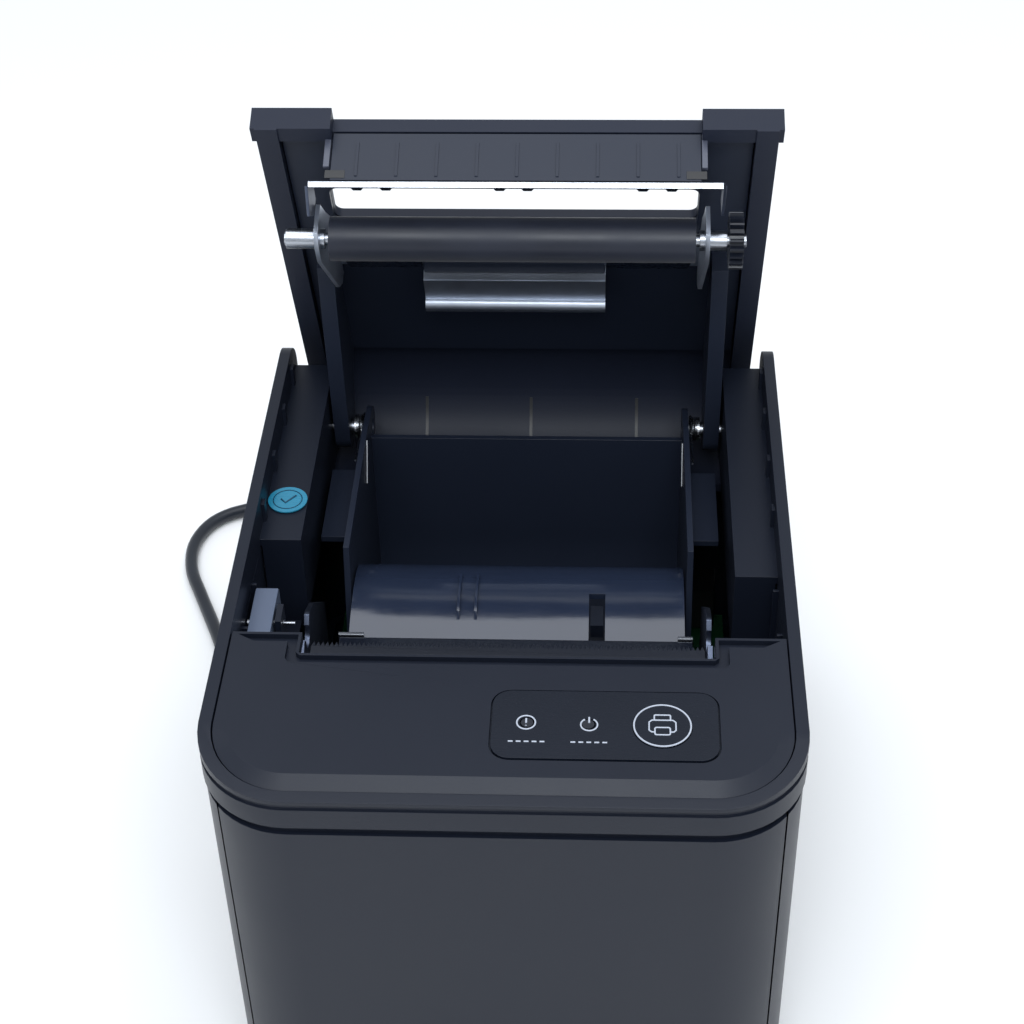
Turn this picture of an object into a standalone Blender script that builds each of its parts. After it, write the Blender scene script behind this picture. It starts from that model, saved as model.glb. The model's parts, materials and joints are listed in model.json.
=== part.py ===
"""Receipt printer for 80 mm paper, lid open, as an assembly of separate pieces.

The frame: X to the viewer's right, Y from the front to the back, Z up from the table, with the origin
under the middle of the printer. Lengths are in millimetres and MM turns them into Blender's metres.
The lid's pieces are modelled as they lie with the lid closed. They hang from the empty lid_hinge, and
its rotation opens them.
"""

import math

import bmesh
import bpy
from mathutils import Matrix, Vector

MM = 0.001

# Driving dimensions of the case.
HALF_WIDTH = 64.0
FRONT_Y = -87.0
REAR_Y = 86.0
RIM_Z = 120.0
BAND_Z = 109.8
FRONT_CORNER = 20.0
REAR_CORNER = 9.0
RIM_DROP = 2.3
WALL = 2.6
REBATE = 2.4
GAP = 0.3
FOOT_HEIGHT = 1.9
TRAY_Z = 2.2

# The lid and its hinge. LID_* lengths along Y are measured forwards from the hinge axis.
HINGE_Y = 65.5
HINGE_Z = 97.0
LID_OPEN = math.radians(67.74)
LID_HALF = 59.2
LID_TIP = 103.9
LID_SKIN = 2.4
LID_EDGE_Z = HINGE_Z + 16.6
SKIRT_CENTRE = 4.0
SKIRT_RADIUS = RIM_Z - HINGE_Z
ARM_INNER, ARM_OUTER = 46.5, 50.5
PIN_RADIUS = 2.0
PIN_BORE = 2.15
SLOT_LEFT, SLOT_RIGHT = -45.2, 42.4
SLOT_FRONT, SLOT_REAR = -14.0, -0.3
WALL_HALF = 41.7

# The platen, where it lies with the lid closed.
PLATEN_Y = HINGE_Y - 83.3
PLATEN_Z = HINGE_Z + 1.5
PLATEN_RADIUS = 5.15
PLATEN_LEFT, PLATEN_RIGHT = -43.0, 41.0
SHAFT_RADIUS = 1.55
TAB_X = (-24.5, 20.5)
BUSH_RADIUS = 2.35
GEAR_LEFT, GEAR_RIGHT = 48.6, 51.8

# The drive train: one module, and teeth counted out from the platen to the motor.
MODULE = 0.6
PLATEN_TEETH, DRIVE_TEETH, PINION_TEETH = 20, 56, 12
MESH_CLEARANCE = 0.45
DRIVE_TOWARDS = math.radians(-110.5)
PINION_TOWARDS = math.radians(-128.0)

# The cutter slides up towards the fixed blade along this slope.
CUT_DIRECTION = Vector((0.8, 0.6))
CUT_NORMAL = Vector((0.6, -0.8))
BLADE_TOP = Vector((-38.6, 95.9))
BLADE_LENGTH = 11.0
CUTTER_TEETH = 24
CUTTER_X = (-20.0, -15.0)

# The latch and its lever.
LATCH_Y, LATCH_Z = -29.5, 82.0
LEVER_Y, LEVER_Z = -23.4, 108.0
LEVER_PIN, LEVER_BORE = 0.9, 1.05

# The paper bin.
BIN_HALF = 41.0
BIN_WALL = 1.5
BIN_Y, BIN_Z, BIN_RADIUS = 20.0, 64.0, 40.5
BIN_REAR_Z = 97.0

# The front panel's controls.
PANEL_Z = 119.6
WINDOW = (-2.2, 45.2, -75.6, -56.0)
BUTTON = (33.5, -66.0, 6.0)
LENSES = {"error_lens": (5.2, -65.4), "power_lens": (18.0, -65.6)}

# The data lead: its plug stands in the rear socket.
CORD_RADIUS = 2.0
PLUG_X, PLUG_Z = -32.0, 21.5
COIL_CENTRE = (-30.0, 158.0)
COIL_MID_RADIUS = 23.0
COIL_HALF_SECTION = (6.1, 6.1)


def srgb(red, green, blue):
    """A colour from its 0 to 255 display values, as the linear RGBA that a shader takes."""
    linear = []
    for value in (red, green, blue):
        share = value / 255
        linear.append(share / 12.92 if share <= 0.04045 else ((share + 0.055) / 1.055) ** 2.4)
    return (*linear, 1.0)


FINISHES = {
    "case": (srgb(45, 49, 62), 0.48, 0.0),
    "lid": (srgb(60, 65, 79), 0.5, 0.0),
    "inner": (srgb(25, 29, 38), 0.55, 0.0),
    "window": (srgb(36, 40, 52), 0.18, 0.0),
    "gloss": (srgb(39, 47, 62), 0.16, 0.0),
    "steel": (srgb(172, 176, 184), 0.28, 1.0),
    "blackened": (srgb(62, 66, 76), 0.4, 1.0),
    "polished": (srgb(190, 198, 212), 0.14, 1.0),
    "spring": (srgb(196, 198, 202), 0.3, 1.0),
    "roller": (srgb(48, 52, 64), 0.6, 0.0),
    "rubber": (srgb(24, 24, 26), 0.8, 0.0),
    "gear": (srgb(34, 36, 42), 0.4, 0.0),
    "lever": (srgb(117, 127, 148), 0.4, 0.0),
    "board": (srgb(28, 84, 54), 0.5, 0.0),
    "socket": (srgb(30, 31, 34), 0.5, 0.0),
    "lens": (srgb(150, 155, 168), 0.2, 0.0),
    "seal": (srgb(74, 178, 200), 0.35, 0.0),
    "head": (srgb(34, 40, 52), 0.2, 0.0),
    "aluminium": (srgb(180, 182, 186), 0.35, 1.0),
    "cord": (srgb(38, 42, 50), 0.5, 0.0),
}


def finish(name, key):
    """A Principled material for one piece."""
    material = bpy.data.materials.new(name)
    material.use_nodes = True
    shader = material.node_tree.nodes["Principled BSDF"]
    colour, roughness, metallic = FINISHES[key]
    shader.inputs["Base Color"].default_value = colour
    shader.inputs["Roughness"].default_value = roughness
    shader.inputs["Metallic"].default_value = metallic
    return material


def circle(y, z, radius, count=24, start=0.0):
    """Points of a circle, as (first, second) pairs of the plane that it is drawn in."""
    step = 2 * math.pi / count
    return [(y + radius * math.cos(start + i * step), z + radius * math.sin(start + i * step)) for i in range(count)]


def arc(y, z, radius, first, last, count):
    """Points of an arc from one angle to another, both in degrees."""
    angles = [math.radians(first + (last - first) * i / count) for i in range(count + 1)]
    return [(y + radius * math.cos(a), z + radius * math.sin(a)) for a in angles]


def rounded(x0, x1, y0, y1, front, rear, count=12):
    """A rectangle whose corners are round: front is the radius at y0, and rear the one at y1."""
    return (
        arc(x0 + front, y0 + front, front, 180, 270, count)
        + arc(x1 - front, y0 + front, front, 270, 360, count)
        + arc(x1 - rear, y1 - rear, rear, 0, 90, count)
        + arc(x0 + rear, y1 - rear, rear, 90, 180, count)
    )


def plan(inset):
    """The case's outline seen from above, moved in by inset."""
    return rounded(
        inset - HALF_WIDTH,
        HALF_WIDTH - inset,
        FRONT_Y + inset,
        REAR_Y - inset,
        FRONT_CORNER - inset,
        max(REAR_CORNER - inset, 1.0),
    )


def loft(rings):
    """A solid between rings of the same number of points, closed at both ends, as a scratch object."""
    mesh = bmesh.new()
    layers = [[mesh.verts.new(Vector(p) * MM) for p in ring] for ring in rings]
    mesh.faces.new(layers[0])
    mesh.faces.new(layers[-1])
    for lower, upper in zip(layers, layers[1:]):
        for i in range(len(lower)):
            j = (i + 1) % len(lower)
            mesh.faces.new((lower[i], lower[j], upper[j], upper[i]))
    bmesh.ops.recalc_face_normals(mesh, faces=mesh.faces)
    data = bpy.data.meshes.new("scratch")
    mesh.to_mesh(data)
    mesh.free()
    made = bpy.data.objects.new("scratch", data)
    bpy.context.scene.collection.objects.link(made)
    return made


def shape(axis, outline, low, high):
    """A solid made by extruding an outline along an axis."""
    places = {"X": lambda p, h: (h, *p), "Y": lambda p, h: (p[0], h, p[1]), "Z": lambda p, h: (*p, h)}
    place = places[axis]
    return loft([[place(p, low) for p in outline], [place(p, high) for p in outline]])


def box(x0, x1, y0, y1, z0, z1):
    return shape("Z", [(x0, y0), (x1, y0), (x1, y1), (x0, y1)], z0, z1)


def rod(axis, first, second, radius, low, high, count=24):
    """A cylinder along an axis, centred on (first, second) of the other two."""
    return shape(axis, circle(first, second, radius, count), low, high)


def combine(target, tool, operation):
    """Joins the tool to the target, or cuts it out, and removes the tool."""
    modifier = target.modifiers.new("combine", "BOOLEAN")
    modifier.operation = operation
    modifier.object = tool
    graph = bpy.context.evaluated_depsgraph_get()
    mesh = bpy.data.meshes.new_from_object(target.evaluated_get(graph))
    target.modifiers.remove(modifier)
    old = target.data
    target.data = mesh
    bpy.data.meshes.remove(old)
    bpy.data.objects.remove(tool)


def piece(name, key, body, joined=(), cuts=(), pivot=None, hold=None, smooth=False):
    """Finishes one named piece: unions, cuts, material, origin on its axis, and its parent."""
    for tool in joined:
        combine(body, tool, "UNION")
    for tool in cuts:
        combine(body, tool, "DIFFERENCE")
    body.name = name
    body.data.name = name
    body.data.materials.clear()
    body.data.materials.append(finish(name, key))
    if smooth:
        body.data.shade_smooth()
        body.data.set_sharp_from_angle(angle=math.radians(40))
    if pivot:
        place = Vector(pivot) * MM
        body.data.transform(Matrix.Translation(-place))
        body.location = place
    if hold:
        body.parent = hold
        body.matrix_parent_inverse = Matrix.Translation(-hold.location)
    return body


def gear_outline(y, z, teeth, turn):
    """A spur gear: four points for each tooth, with the flanks leaning in a little."""
    pitch = MODULE * teeth / 2
    root, tip = pitch - 1.15 * MODULE, pitch + 0.85 * MODULE
    step = 2 * math.pi / teeth
    points = []
    for i in range(teeth):
        middle = turn + i * step
        for radius, share in ((root, -0.31), (tip, -0.13), (tip, 0.13), (root, 0.31)):
            angle = middle + share * step
            points.append((y + radius * math.cos(angle), z + radius * math.sin(angle)))
    return points


def meshing_turn(teeth, towards, other_teeth, other_turn):
    """The turn that puts a gap of this gear where the other gear, lying along towards, has a tooth."""
    phase = ((towards + math.pi - other_turn) / (2 * math.pi / other_teeth)) % 1.0
    return towards + (phase - 0.5) * 2 * math.pi / teeth


def beside(y, z, towards, teeth, other_teeth, clearance=MESH_CLEARANCE):
    """The centre of a gear that meshes with the one at (y, z), in the direction towards."""
    reach = MODULE * (teeth + other_teeth) / 2 + clearance
    return y + reach * math.cos(towards), z + reach * math.sin(towards)


def clear_scene():
    for old in list(bpy.data.objects):
        bpy.data.objects.remove(old)


def make_base():
    """The tray, the feet and the walls of the case."""
    tray = shape("Z", plan(0.6), TRAY_Z, TRAY_Z + 2.8)
    lip = shape("Z", plan(WALL + GAP + 0.3), TRAY_Z + 1, 13)
    well = shape("Z", plan(WALL + 2.6), TRAY_Z + 2.8, 20)
    piece("bottom_tray", "case", tray, [lip], [well])
    for i, (x, y) in enumerate(((-48, -70), (48, -70), (-48, 70), (48, 70))):
        foot = rod("Z", x, y, 7.0, 0, FOOT_HEIGHT)
        piece(f"rubber_foot_{i + 1}", "rubber", foot, smooth=True)


def rear_cut():
    """What the ears at the back leave away: the space above the side walls' rear slope."""
    slope = [(66, 140), (66, RIM_Z)] + arc(66, 111, 9, 90, 0, 10)
    slope += [(75.6, 103.5), (77.6, 97.5), (81, 91.5), (87, 86.5), (99, 86.5), (99, 140)]
    return shape("X", slope, -80, 80)


def lower_walls():
    """The lower case as a solid, stepped in at its top so that a dark line runs under the rim band."""
    walls = shape("Z", plan(0.4), TRAY_Z + 2.8 + GAP, BAND_Z - REBATE)
    combine(walls, shape("Z", plan(1.5), 100, BAND_Z - GAP), "UNION")
    return walls


def make_housings():
    seam = 59.5
    cuts = [
        shape("Z", plan(WALL + 0.2), 0, 150),
        box(-seam - 0.2, seam + 0.2, -99, -60, 0, 150),
        rear_cut(),
        box(-60.6, 60.6, 80, 99, 86.5, 150),
        rod("X", HINGE_Y, HINGE_Z, SKIRT_RADIUS - 1.6, -60.6, 60.6, 48),
        box(PLUG_X - 6.8, PLUG_X + 6.8, 70, 99, 15, 28),
        box(-13.8, 0.8, 70, 99, 15, 30),
        box(10.2, 24.8, 70, 99, 15, 28),
        box(36.7, 53.3, 70, 99, 16.7, 32.3),
    ]
    piece("lower_housing", "case", lower_walls(), cuts=cuts)
    cuts = [
        shape("Z", plan(WALL + 0.2), 0, 150),
        box(-99, -seam + 0.2, -99, 99, 0, 150),
        box(seam - 0.2, 99, -99, 99, 0, 150),
        box(-99, 99, -60.3, 99, 0, 150),
    ]
    piece("front_cover", "case", lower_walls(), cuts=cuts)


def rim_height(y):
    """The rim's height: level, and sloping down round the front corners."""
    return RIM_Z - RIM_DROP * max(0.0, FRONT_Y + FRONT_CORNER - y) / FRONT_CORNER


def make_upper_housing():
    """The rim band, with the ledges that the lid rests over, and the pockets in front of them."""
    inner = 61.2
    wall_in, ledge_z, floor_z = 51.3, 111.8, 85.6
    fronts = {-1: 1.5, 1: -9.7}
    band = shape("Z", plan(0), BAND_Z, RIM_Z)
    combine(band, shape("Z", plan(WALL + 0.2), 0, 150), "DIFFERENCE")
    combine(band, box(-99, 99, 72.6, 99, 0, 150), "DIFFERENCE")
    corner = FRONT_Y + FRONT_CORNER
    above = [(corner, RIM_Z), (-95, rim_height(-95)), (-95, 130), (corner, 130)]
    combine(band, shape("X", above, -80, 80), "DIFFERENCE")
    groove = shape("Z", plan(-2), 115.2, 116.7)
    combine(groove, shape("Z", plan(0.5), 110, 130), "DIFFERENCE")
    combine(band, groove, "DIFFERENCE")
    ears = []
    joined = []
    for side, front in fronts.items():
        x_wall = sorted((side * wall_in, side * (wall_in + 1.6)))
        x_ledge = sorted((side * wall_in, side * 62.5))
        x_deck = sorted((side * wall_in, side * 60.8))
        ears.append(box(*sorted((side * inner, side * HALF_WIDTH)), 60, 79, BAND_Z, RIM_Z))
        joined.append(box(*x_ledge, front, 72.6, ledge_z - 2, ledge_z))
        joined.append(box(*x_wall, front, 72.4, 88, ledge_z - 1))
        joined.append(box(*x_deck, front, front + 1.6, floor_z - 1.6, ledge_z - 1))
        x_floor = sorted((side * 53.4, side * 60.8))
        joined.append(box(*x_floor, -45, front + 1, floor_z - 1.6, floor_z))
        x_rib = sorted((side * 60.4, side * 62))
        for y in (8, 27, 46, 63):
            joined.append(box(*x_rib, y, y + 2.4, ledge_z - 1, 117.2))
    joined.append(box(-53.9, -52.5, -27, -21, floor_z - 1, ledge_z))
    for ear in ears:
        combine(band, ear, "UNION")
    cuts = [rear_cut(), box(-58.3, -53.0, -35, -21.5, floor_z - 3, floor_z + 0.5)]
    for x in (-52.1, 52.1):
        cuts.append(rod("X", HINGE_Y, HINGE_Z, PIN_BORE, x - 2, x + 2))
    cuts.append(rod("X", LEVER_Y, LEVER_Z, LEVER_BORE, -60, -50))
    piece("upper_housing", "case", band, joined, cuts)


def make_front_panel():
    """The flat top panel in front of the lid, its window, lenses, button and tear bar."""
    x0, x1, y0, y1 = WINDOW
    side_rear, middle_rear, step_x = -38.7, -45.2, 45.4
    edge, flat, below = 3.1, 6.2, 0.4
    outer = rounded(edge - HALF_WIDTH, HALF_WIDTH - edge, FRONT_Y + edge, -20, FRONT_CORNER - edge, 1.0)
    inner = rounded(flat - HALF_WIDTH, HALF_WIDTH - flat, FRONT_Y + flat, -23, FRONT_CORNER - flat, 1.0)
    rings = [
        [(x, y, PANEL_Z - 2.6) for x, y in outer],
        [(x, y, rim_height(y) - below) for x, y in outer],
        [(x, y, PANEL_Z) for x, y in inner],
    ]
    panel = loft(rings)
    lip, wide = 0.7, 2.2
    groove = []
    for sign in (-1, 1):
        back = [(59.6, side_rear - lip), (step_x + lip, side_rear - lip), (step_x + lip, middle_rear + 0.2),
                (step_x - 0.2, middle_rear - lip)]
        groove += [(sign * x, y) for x, y in back[::-sign]]
    for sign in (1, -1):
        far = step_x + lip + wide
        front = [(55.8, side_rear - lip - wide), (far, side_rear - lip - wide), (far, middle_rear - lip - 0.9),
                 (far - 0.9, middle_rear - lip - wide)]
        groove += [(sign * x, y) for x, y in front[::sign]]
    cuts = [
        box(-99, 99, side_rear, 99, 0, 150),
        box(-step_x, step_x, middle_rear, 99, 0, 150),
        shape("Z", groove, PANEL_Z - 1.4, 130),
        shape("Z", rounded(x0 - 0.4, x1 + 0.4, y0 - 0.4, y1 + 0.4, 4.4, 4.4), PANEL_Z - 0.9, 130),
        rod("Z", *BUTTON[:2], BUTTON[2] + 0.3, 100, 130, 32),
    ]
    for x, y in LENSES.values():
        cuts.append(rod("Z", x, y, 1.6, 100, 130, 16))
    piece("front_panel", "case", panel, cuts=cuts)

    window = shape("Z", rounded(x0, x1, y0, y1, 4, 4), PANEL_Z - 0.6, PANEL_Z + 0.2)
    cuts = [rod("Z", *BUTTON[:2], BUTTON[2] + 0.3, 100, 130, 32)]
    for x, y in LENSES.values():
        cuts.append(rod("Z", x, y, 1.6, 100, 130, 16))
    piece("indicator_window", "window", window, cuts=cuts)
    for name, (x, y) in LENSES.items():
        lens = rod("Z", x, y, 1.3, PANEL_Z - 2.4, PANEL_Z + 0.15, 16)
        piece(name, "lens", lens, smooth=True)
    cap = rod("Z", *BUTTON[:2], BUTTON[2], PANEL_Z - 1.8, PANEL_Z + 0.5, 32)
    stem = rod("Z", *BUTTON[:2], 2.0, PANEL_Z - 6.5, PANEL_Z - 1, 16)
    piece("feed_button", "window", cap, [stem], pivot=(*BUTTON[:2], PANEL_Z), smooth=True)

    pitch, count, half = 1.0, 86, 43.0
    front, root, tip = -44.8, -42.5, -41.1
    outline = [(-half, front), (half, front)]
    for i in range(count):
        x = half - pitch * i
        outline += [(x, root), (x - pitch / 2, tip)]
    outline.append((-half, root))
    piece("tear_bar", "gear", shape("Z", outline, 117.4, 119.2))


def make_bin():
    """The drop-in paper bin: a trough with straight walls, and the ears that hold the hinge pins."""
    outer = BIN_RADIUS + BIN_WALL
    half = BIN_HALF + BIN_WALL
    profile = [(BIN_Y - outer, 80)] + arc(BIN_Y, BIN_Z, outer, 180, 360, 36)
    profile += [(BIN_Y + outer, BIN_REAR_Z + 2), (57, 104), (8, 104), (2, 80)]
    trough = shape("X", profile, -half, half)
    inner = [(BIN_Y - BIN_RADIUS, 150)] + arc(BIN_Y, BIN_Z, BIN_RADIUS, 180, 360, 36)
    inner.append((BIN_Y + BIN_RADIUS, 150))
    ear_profile = circle(HINGE_Y, HINGE_Z, 5.5, 20)
    bridge = [(52, 91), (HINGE_Y, HINGE_Z - 5.5), (HINGE_Y, HINGE_Z + 5.5), (52, 104)]
    joined = []
    for side, edge in ((-1, 50.3), (1, 49.4)):
        span = sorted((side * BIN_HALF, side * half))
        joined += [shape("X", ear_profile, *span), shape("X", bridge, *span)]
        joined.append(box(*sorted((side * (half - 0.5), side * edge)), 23, 50, 92.9, 94.5))
    cuts = [shape("X", inner, -BIN_HALF, BIN_HALF), box(-BIN_HALF, BIN_HALF, 50, 99, BIN_REAR_Z, 150)]
    cuts.append(rod("X", HINGE_Y, HINGE_Z, PIN_BORE, -50, 50))
    piece("paper_bin", "inner", trough, joined, cuts)

    crest_y, crest_z, thick = 8.0, 92.7, 1.7
    falls = ((41.0, 116.4, 90, 8), (18.4, 90, 52.5, 8))
    top, under = [], []
    for radius, first, last, count in falls:
        top += arc(crest_y, crest_z - radius, radius, first, last, count)
        under += arc(crest_y, crest_z - radius, radius - thick, first, last, count)
    guide = shape("X", top + under[::-1], -40.5, 40.5)
    slot = box(17.4, 21.3, -12, 5, 80, 99)
    fins = []
    for x in (-14.6, -10.4):
        fins.append(shape("X", [(-4, 90.2), (4, 91.6), (12, 91.4), (11, 93.4), (3, 94.3), (-2, 92.9)], x, x + 0.7))
    piece("paper_guide", "gloss", guide, fins, [slot])
    sensor = box(17.8, 20.9, -4, 3, 86.5, 90.4)
    piece("paper_sensor", "gear", sensor)


def make_electronics():
    board = box(-56, 56, -14, 81.5, 14.0, 15.6)
    piece("main_board", "board", board)
    deck = 15.9
    usb = box(PLUG_X - 6.2, PLUG_X + 6.2, 70, 85.7, deck, 27.2)
    piece("usb_socket", "steel", usb, cuts=[box(PLUG_X - 4.4, PLUG_X + 4.4, 74, 99, 17.6, 25.4)])
    drawer = box(-13.2, 0.2, 70, 85.7, deck, 29.2)
    piece("drawer_socket", "socket", drawer, cuts=[box(-11.6, -1.4, 75, 99, 18, 27.4)])
    power = box(10.8, 24.2, 70, 85.7, deck, 27.2)
    piece("power_socket", "socket", power, cuts=[box(13.0, 22.0, 75, 99, 17.6, 25.4)])
    frame = box(37.2, 52.8, 74, 85.6, 17.2, 31.8)
    flange = box(36, 54, 86.3, 87, 16, 33)
    neck = box(37.2, 52.8, 85, 86.6, 17.2, 31.8)
    hollow = box(38.8, 51.2, 77, 99, 18.8, 30.2)
    piece("switch_frame", "socket", frame, [neck, flange], [hollow])
    rocker = [(78.6, 22.2), (86.2, 19.3), (86.2, 24.4), (84.9, 29.4), (78.6, 26.8)]
    body = shape("X", rocker, 39.4, 50.6)
    piece("power_rocker", "gear", body, pivot=(45, 81.5, 24.5))


def make_frames():
    """The steel side frames, which take the platen's bushes in open slots, and the cross member."""
    rise = 101.5
    notch = 2.75
    outline = [(-46, 17), (8, 17), (8, 86), (-6, rise - 3), (-12, rise)]
    outline += [(PLATEN_Y + notch + 1.6, rise), (PLATEN_Y + notch, rise - 2)]
    outline += arc(PLATEN_Y, PLATEN_Z, notch, 0, -180, 8)
    outline += [(PLATEN_Y - notch, rise - 2), (PLATEN_Y - notch - 1.6, rise), (-25.5, rise - 2)]
    outline += [(-34, 92), (-46, 84)]
    drive_y, drive_z = beside(PLATEN_Y, PLATEN_Z, DRIVE_TOWARDS, PLATEN_TEETH, DRIVE_TEETH)
    pinion_y, pinion_z = beside(drive_y, drive_z, PINION_TOWARDS, DRIVE_TEETH, PINION_TEETH, 0.3)
    for name, low, high in (("side_frame_left", -49.6, -48.4), ("side_frame_right", 45.0, 46.2)):
        plate = shape("X", outline, low, high)
        cuts = [rod("X", LATCH_Y, LATCH_Z, 1.9, -60, 60)]
        joined = []
        if high > 0:
            joined.append(rod("X", drive_y, drive_z, 1.5, low, 52.3, 16))
            cuts.append(rod("X", pinion_y, pinion_z, 2.4, -60, 60))
        piece(name, "blackened", plate, joined, cuts)
    member = box(-48.1, 44.7, -31, -22.8, 77.8, 79.0)
    turned_down = box(-48.1, 17.0, -31, -29.8, 70, 78.2)
    piece("cross_member", "steel", member, [turned_down])

    motor = rod("X", pinion_y, pinion_z, 13.8, 20, 44.0, 32)
    boss = rod("X", pinion_y, pinion_z, 5.0, 18, 44.7, 24)
    piece("stepper_motor", "steel", motor, [boss], [rod("X", pinion_y, pinion_z, 1.6, 40, 60, 16)], smooth=True)

    platen_turn = 0.0
    drive_turn = meshing_turn(DRIVE_TEETH, DRIVE_TOWARDS + math.pi, PLATEN_TEETH, platen_turn)
    drive = shape("X", gear_outline(drive_y, drive_z, DRIVE_TEETH, drive_turn), GEAR_LEFT, GEAR_RIGHT)
    bore = rod("X", drive_y, drive_z, 1.62, 40, 60, 16)
    recess = shape("X", circle(drive_y, drive_z, 13.6, 32), 50.6, 60)
    hub = rod("X", drive_y, drive_z, 3.4, 50, GEAR_RIGHT)
    combine(drive, recess, "DIFFERENCE")
    piece("drive_gear", "gear", drive, [hub], [bore], pivot=(50.2, drive_y, drive_z))
    pinion_turn = meshing_turn(PINION_TEETH, PINION_TOWARDS + math.pi, DRIVE_TEETH, drive_turn)
    pinion = shape("X", gear_outline(pinion_y, pinion_z, PINION_TEETH, pinion_turn), GEAR_LEFT, GEAR_RIGHT)
    shaft = rod("X", pinion_y, pinion_z, 1.2, 41, 52.3, 16)
    piece("motor_pinion", "steel", pinion, [shaft], pivot=(50.2, pinion_y, pinion_z))


def make_head():
    """The print head on its heat sink, which two springs push up against the platen."""
    head = box(-42, 42, -26, -11.6, 90.2, 92.7)
    glaze = box(-41, 41, -19.4, -16.2, 92.4, 93.0)
    piece("print_head", "head", head, [glaze], pivot=(0, PLATEN_Y, 91))
    sink = box(-42, 42, -26, -12, 87.6, 89.9)
    fins = [box(-42, 42, y, y + 1.2, 85.5, 88) for y in (-26, -22.4, -18.8, -15.2)]
    piece("head_heat_sink", "aluminium", sink, fins, pivot=(0, PLATEN_Y, 88))
    for name, x in (("head_spring_left", -30.0), ("head_spring_right", 28.0)):
        coil(name, (x, -24.9), 79.35, 85.15)


def helix_points(turns, per_turn, radius, length):
    """Points of a helix along its first coordinate, around (0, 0) of the other two."""
    total = int(turns * per_turn)
    points = []
    for i in range(total + 1):
        angle = 2 * math.pi * i / per_turn
        points.append((length * i / total, radius * math.cos(angle), radius * math.sin(angle)))
    return points


def wire(name, key, points, radius, sides=2):
    """A round wire or cord along the points, as a curve with closed ends."""
    curve = bpy.data.curves.new(name, "CURVE")
    curve.dimensions = "3D"
    curve.bevel_depth = radius * MM
    curve.bevel_resolution = sides
    curve.use_fill_caps = True
    spline = curve.splines.new("POLY")
    spline.points.add(len(points) - 1)
    for point, place in zip(spline.points, points):
        point.co = (*(Vector(place) * MM), 1.0)
    made = bpy.data.objects.new(name, curve)
    made.data.materials.append(finish(name, key))
    bpy.context.scene.collection.objects.link(made)
    return made


def coil(name, centre, low, high):
    """An upright compression spring."""
    radius, thick = 1.9, 0.28
    run = helix_points(4.5, 10, radius, high - low - 2 * thick)
    points = [(centre[0] + b, centre[1] + c, low + thick + a) for a, b, c in run]
    wire(name, "spring", points, thick, 0)


def make_hinges():
    """The pins that the lid turns on, and a torsion spring round each of them."""
    for name, side in (("left", -1), ("right", 1)):
        span = sorted((side * 41.4, side * 52.6))
        pin = rod("X", HINGE_Y, HINGE_Z, PIN_RADIUS, *span)
        piece(f"hinge_pin_{name}", "steel", pin, smooth=True)
        reach = 2.3
        run = helix_points(4.25, 12, 3.0, reach)
        points = [(side * (43.4 + a), HINGE_Y + b, HINGE_Z - c) for a, b, c in run]
        leg = [(side * 43.3, HINGE_Y + 2.2, HINGE_Z + 2.6), (side * 43.2, 60, 99.6), (side * 43.2, 44, 102.4)]
        wire(f"hinge_spring_{name}", "spring", leg[::-1] + points, 0.35, 0)


def make_latch():
    """The latch bar with its two hooks, and the lever with its pin in the left pocket."""
    bar = rod("X", LATCH_Y, LATCH_Z, 1.5, -57.3, 47.8, 16)
    hook = [(LATCH_Y - 3, LATCH_Z - 1), (LATCH_Y + 3, LATCH_Z - 1), (-23.6, 94), (-20.9, 99)]
    hook += [(-21.6, 100.6), (-24.6, 100.2), (-27.4, 95)]
    hooks = [shape("X", hook, -51.8, -50.2), shape("X", hook, 46.6, 47.8)]
    push_arm = [(LATCH_Y - 2, LATCH_Z - 1), (LATCH_Y + 2, LATCH_Z - 1), (-24.5, 93.5), (-27.0, 94.5)]
    hooks.append(shape("X", push_arm, -57.3, -55.5))
    piece("latch_bar", "blackened", bar, hooks, pivot=(0, LATCH_Y, LATCH_Z))

    top = 111.4
    outline = [(-30.2, 100.5), (-25, 97.5), (-18, 97.5), (-14.5, 103), (-14.5, top - 0.8), (-15.3, top), (-30.2, top)]
    handle = shape("X", outline, -59.8, -54.5)
    tail = shape("X", [(-24, 98.5), (-19.5, 98.5), (-21.5, 91.5), (-24, 91.5)], -57.5, -54.5)
    bore = rod("X", LEVER_Y, LEVER_Z, LEVER_BORE, -70, -50)
    piece("open_lever", "lever", handle, [tail], [bore], pivot=(-57, LEVER_Y, LEVER_Z))
    pin = rod("X", LEVER_Y, LEVER_Z, LEVER_PIN, -60.9, -52.4, 16)
    nose = rod("X", LEVER_Y, LEVER_Z, 0.4, -53, -49.9, 12)
    piece("lever_pin", "steel", pin, [nose], smooth=True)


def slope_point(along, off):
    """A point of the cutter's plane: along the cut from the blade's top edge, and off towards the back."""
    place = BLADE_TOP + CUT_DIRECTION * along + CUT_NORMAL * off
    return (place.x, place.y)


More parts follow.
